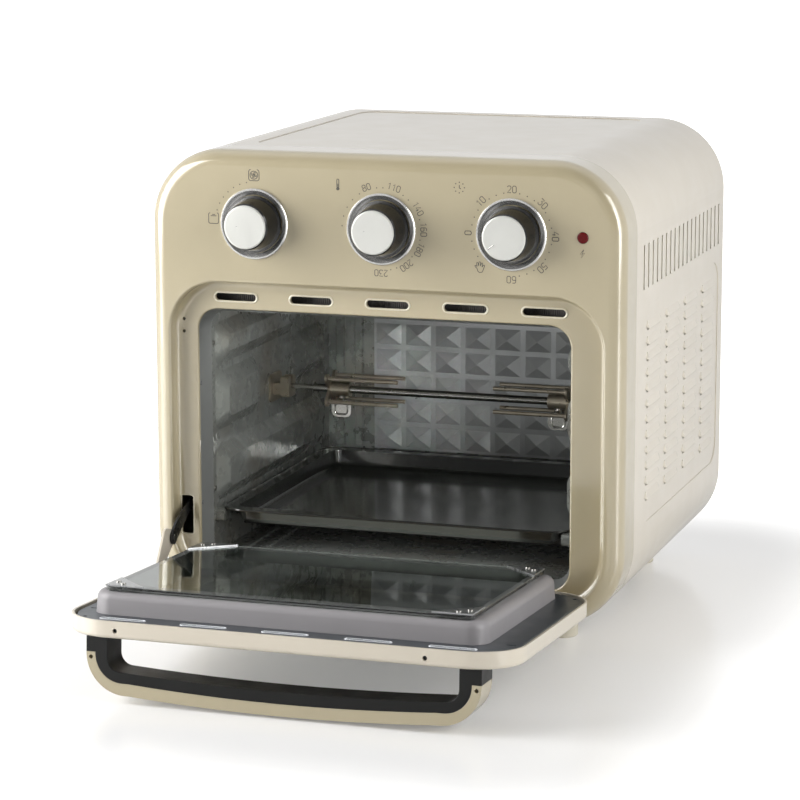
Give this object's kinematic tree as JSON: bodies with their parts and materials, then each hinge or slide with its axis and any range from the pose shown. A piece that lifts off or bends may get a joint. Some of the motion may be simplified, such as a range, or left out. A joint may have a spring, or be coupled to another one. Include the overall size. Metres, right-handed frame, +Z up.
{
  "type": "air fryer oven",
  "caption": "Countertop air fryer oven with a drop-down glass door, bowed handle, rotary knobs, louvred sides, a spit with forks and a sliding baking tray.",
  "frame": {"origin": "on the floor, at the centre of the footprint of the whole oven with its door open as in the picture", "axes": "+X to the right seen from the front, +Y from the door towards the back, +Z up"},
  "size_m": [0.3548, 0.5322, 0.349],
  "materials": {
    "front_frame": "pearly champagne paint on a moulded frame",
    "outer_wrap": "gloss cream enamel on bent steel sheet",
    "rear_cover": "cream enamel on steel sheet",
    "base_plate": "cream enamel on steel sheet",
    "feet": "cream moulded plastic",
    "cord_gland": "black moulded plastic",
    "cavity_collar": "aluminised steel sheet",
    "collar_rivets": "dark steel rivets",
    "left_wall": "aluminised steel sheet, pressed",
    "right_wall": "aluminised steel sheet, pressed",
    "cavity_floor": "aluminised steel sheet",
    "cavity_roof": "aluminised steel sheet",
    "back_panel": "aluminised steel sheet",
    "back_reflector": "bright embossed aluminium",
    "upper_heaters": "dark steel heating rods",
    "lower_heaters": "dark steel heating rods",
    "heater_holders": "ceramic holders",
    "fan_chamber": "aluminised steel pressing",
    "fan_guard": "steel sheet guard",
    "convection_fan": "pressed fan wheel",
    "fan_motor": "motor can",
    "spit_bracket": "dull brassy steel bracket",
    "spit_rod": "plated steel rod",
    "drive_socket": "steel socket",
    "spit_motor": "motor can with its mounting strap",
    "left_fork": "plated steel",
    "right_fork": "plated steel",
    "left_fork_screw": "plated thumb screw",
    "right_fork_screw": "plated thumb screw",
    "baking_tray": "black non-stick enamel",
    "knob_bezels": "polished dish rings",
    "function_knob": "gloss black plastic",
    "thermostat_knob": "gloss black plastic",
    "timer_knob": "gloss black plastic",
    "function_knob_cap": "satin silver-white face",
    "thermostat_knob_cap": "satin silver-white face",
    "timer_knob_cap": "satin silver-white face",
    "function_shaft": "steel shaft",
    "thermostat_shaft": "steel shaft",
    "timer_shaft": "steel shaft",
    "function_control": "switch body",
    "thermostat_control": "thermostat body",
    "timer_control": "timer body",
    "lamp_lens": "red lamp lens",
    "lamp_holder": "lamp holder",
    "hinge_pins": "steel pins",
    "door_shell": "gloss cream enamel on pressed steel",
    "door_inner_plate": "bluish polished steel",
    "glass_frame": "satin grey",
    "inner_glass": "clear tempered glass",
    "outer_glass": "dark tinted tempered glass",
    "corner_clips": "steel sheet clips",
    "clip_screws": "pan-head screws",
    "handle_grip": "satin black plastic",
    "handle_cover": "champagne plastic cover",
    "handle_screws": "steel screws",
    "arm_bracket": "cream painted steel",
    "arm_rivet": "steel rivet",
    "stay_arm": "blackened steel"
  },
  "bodies": {
    "housing": {"front_frame": "front_frame", "outer_wrap": "outer_wrap", "rear_cover": "rear_cover", "base_plate": "base_plate", "feet": "feet", "cord_gland": "cord_gland", "cavity_collar": "cavity_collar", "collar_rivets": "collar_rivets", "left_wall": "left_wall", "right_wall": "right_wall", "cavity_floor": "cavity_floor", "cavity_roof": "cavity_roof", "back_panel": "back_panel", "back_reflector": "back_reflector", "upper_heaters": "upper_heaters", "lower_heaters": "lower_heaters", "heater_holders": "heater_holders", "fan_chamber": "fan_chamber", "fan_guard": "fan_guard", "fan_motor": "fan_motor", "spit_bracket": "spit_bracket", "spit_motor": "spit_motor", "knob_bezels": "knob_bezels", "function_control": "function_control", "thermostat_control": "thermostat_control", "timer_control": "timer_control", "lamp_lens": "lamp_lens", "lamp_holder": "lamp_holder", "hinge_pins": "hinge_pins"},
    "door": {"door_shell": "door_shell", "door_inner_plate": "door_inner_plate", "glass_frame": "glass_frame", "inner_glass": "inner_glass", "outer_glass": "outer_glass", "corner_clips": "corner_clips", "clip_screws": "clip_screws", "handle_grip": "handle_grip", "handle_cover": "handle_cover", "handle_screws": "handle_screws", "arm_bracket": "arm_bracket", "arm_rivet": "arm_rivet"},
    "stay_arm": {"stay_arm": "stay_arm"},
    "function_knob": {"function_knob": "function_knob", "function_knob_cap": "function_knob_cap", "function_shaft": "function_shaft"},
    "thermostat_knob": {"thermostat_knob": "thermostat_knob", "thermostat_knob_cap": "thermostat_knob_cap", "thermostat_shaft": "thermostat_shaft"},
    "timer_knob": {"timer_knob": "timer_knob", "timer_knob_cap": "timer_knob_cap", "timer_shaft": "timer_shaft"},
    "tray": {"baking_tray": "baking_tray"},
    "spit": {"spit_rod": "spit_rod", "drive_socket": "drive_socket"},
    "left_fork": {"left_fork": "left_fork"},
    "right_fork": {"right_fork": "right_fork"},
    "left_fork_screw": {"left_fork_screw": "left_fork_screw"},
    "right_fork_screw": {"right_fork_screw": "right_fork_screw"},
    "fan": {"convection_fan": "convection_fan"}
  },
  "joints": [
    {"name": "door_hinge", "type": "hinge", "parent": "housing", "child": "door", "pos_m": [0, -0.0489, 0.0344], "axis": [-1, 0, 0], "range_deg": [0, 86.5]},
    {"name": "stay_arm_pivot", "type": "hinge", "parent": "door", "child": "stay_arm", "pos_m": [-0.1547, -0.06774, 0.06711], "axis": [1, 0, 0], "range_deg": [0, 119.6]},
    {"name": "function_turn", "type": "hinge", "parent": "housing", "child": "function_knob", "pos_m": [-0.0953, -0.0509, 0.297], "axis": [0, 1, 0], "range_deg": [0, 90]},
    {"name": "thermostat_turn", "type": "hinge", "parent": "housing", "child": "thermostat_knob", "pos_m": [0, -0.0509, 0.297], "axis": [0, 1, 0], "range_deg": [0, 270]},
    {"name": "timer_turn", "type": "hinge", "parent": "housing", "child": "timer_knob", "pos_m": [0.0953, -0.0509, 0.297], "axis": [0, 1, 0], "range_deg": [0, 315]},
    {"name": "tray_slide", "type": "slide", "parent": "housing", "child": "tray", "axis": [0, 1, 0], "range_m": [-0.09, 0]},
    {"name": "spit_turn", "type": "hinge", "parent": "housing", "child": "spit", "pos_m": [0, 0.1091, 0.149], "axis": [1, 0, 0], "continuous": true},
    {"name": "left_fork_slide", "type": "slide", "parent": "spit", "child": "left_fork", "axis": [1, 0, 0], "range_m": [0, 0.025]},
    {"name": "right_fork_slide", "type": "slide", "parent": "spit", "child": "right_fork", "axis": [-1, 0, 0], "range_m": [0, 0.025]},
    {"name": "left_fork_screw_turn", "type": "hinge", "parent": "left_fork", "child": "left_fork_screw", "pos_m": [-0.0865, 0.1091, 0.149], "axis": [0, 0, 1], "continuous": true},
    {"name": "right_fork_screw_turn", "type": "hinge", "parent": "right_fork", "child": "right_fork_screw", "pos_m": [0.0865, 0.1091, 0.149], "axis": [0, 0, 1], "continuous": true},
    {"name": "fan_spin", "type": "hinge", "parent": "housing", "child": "fan", "pos_m": [-0.00525, 0.1091, 0.248], "axis": [0, 0, 1], "continuous": true}
  ],
  "couplings": [
    {"joint": "stay_arm_pivot", "follows": "door_hinge", "ratio": 1.3815}
  ]
}
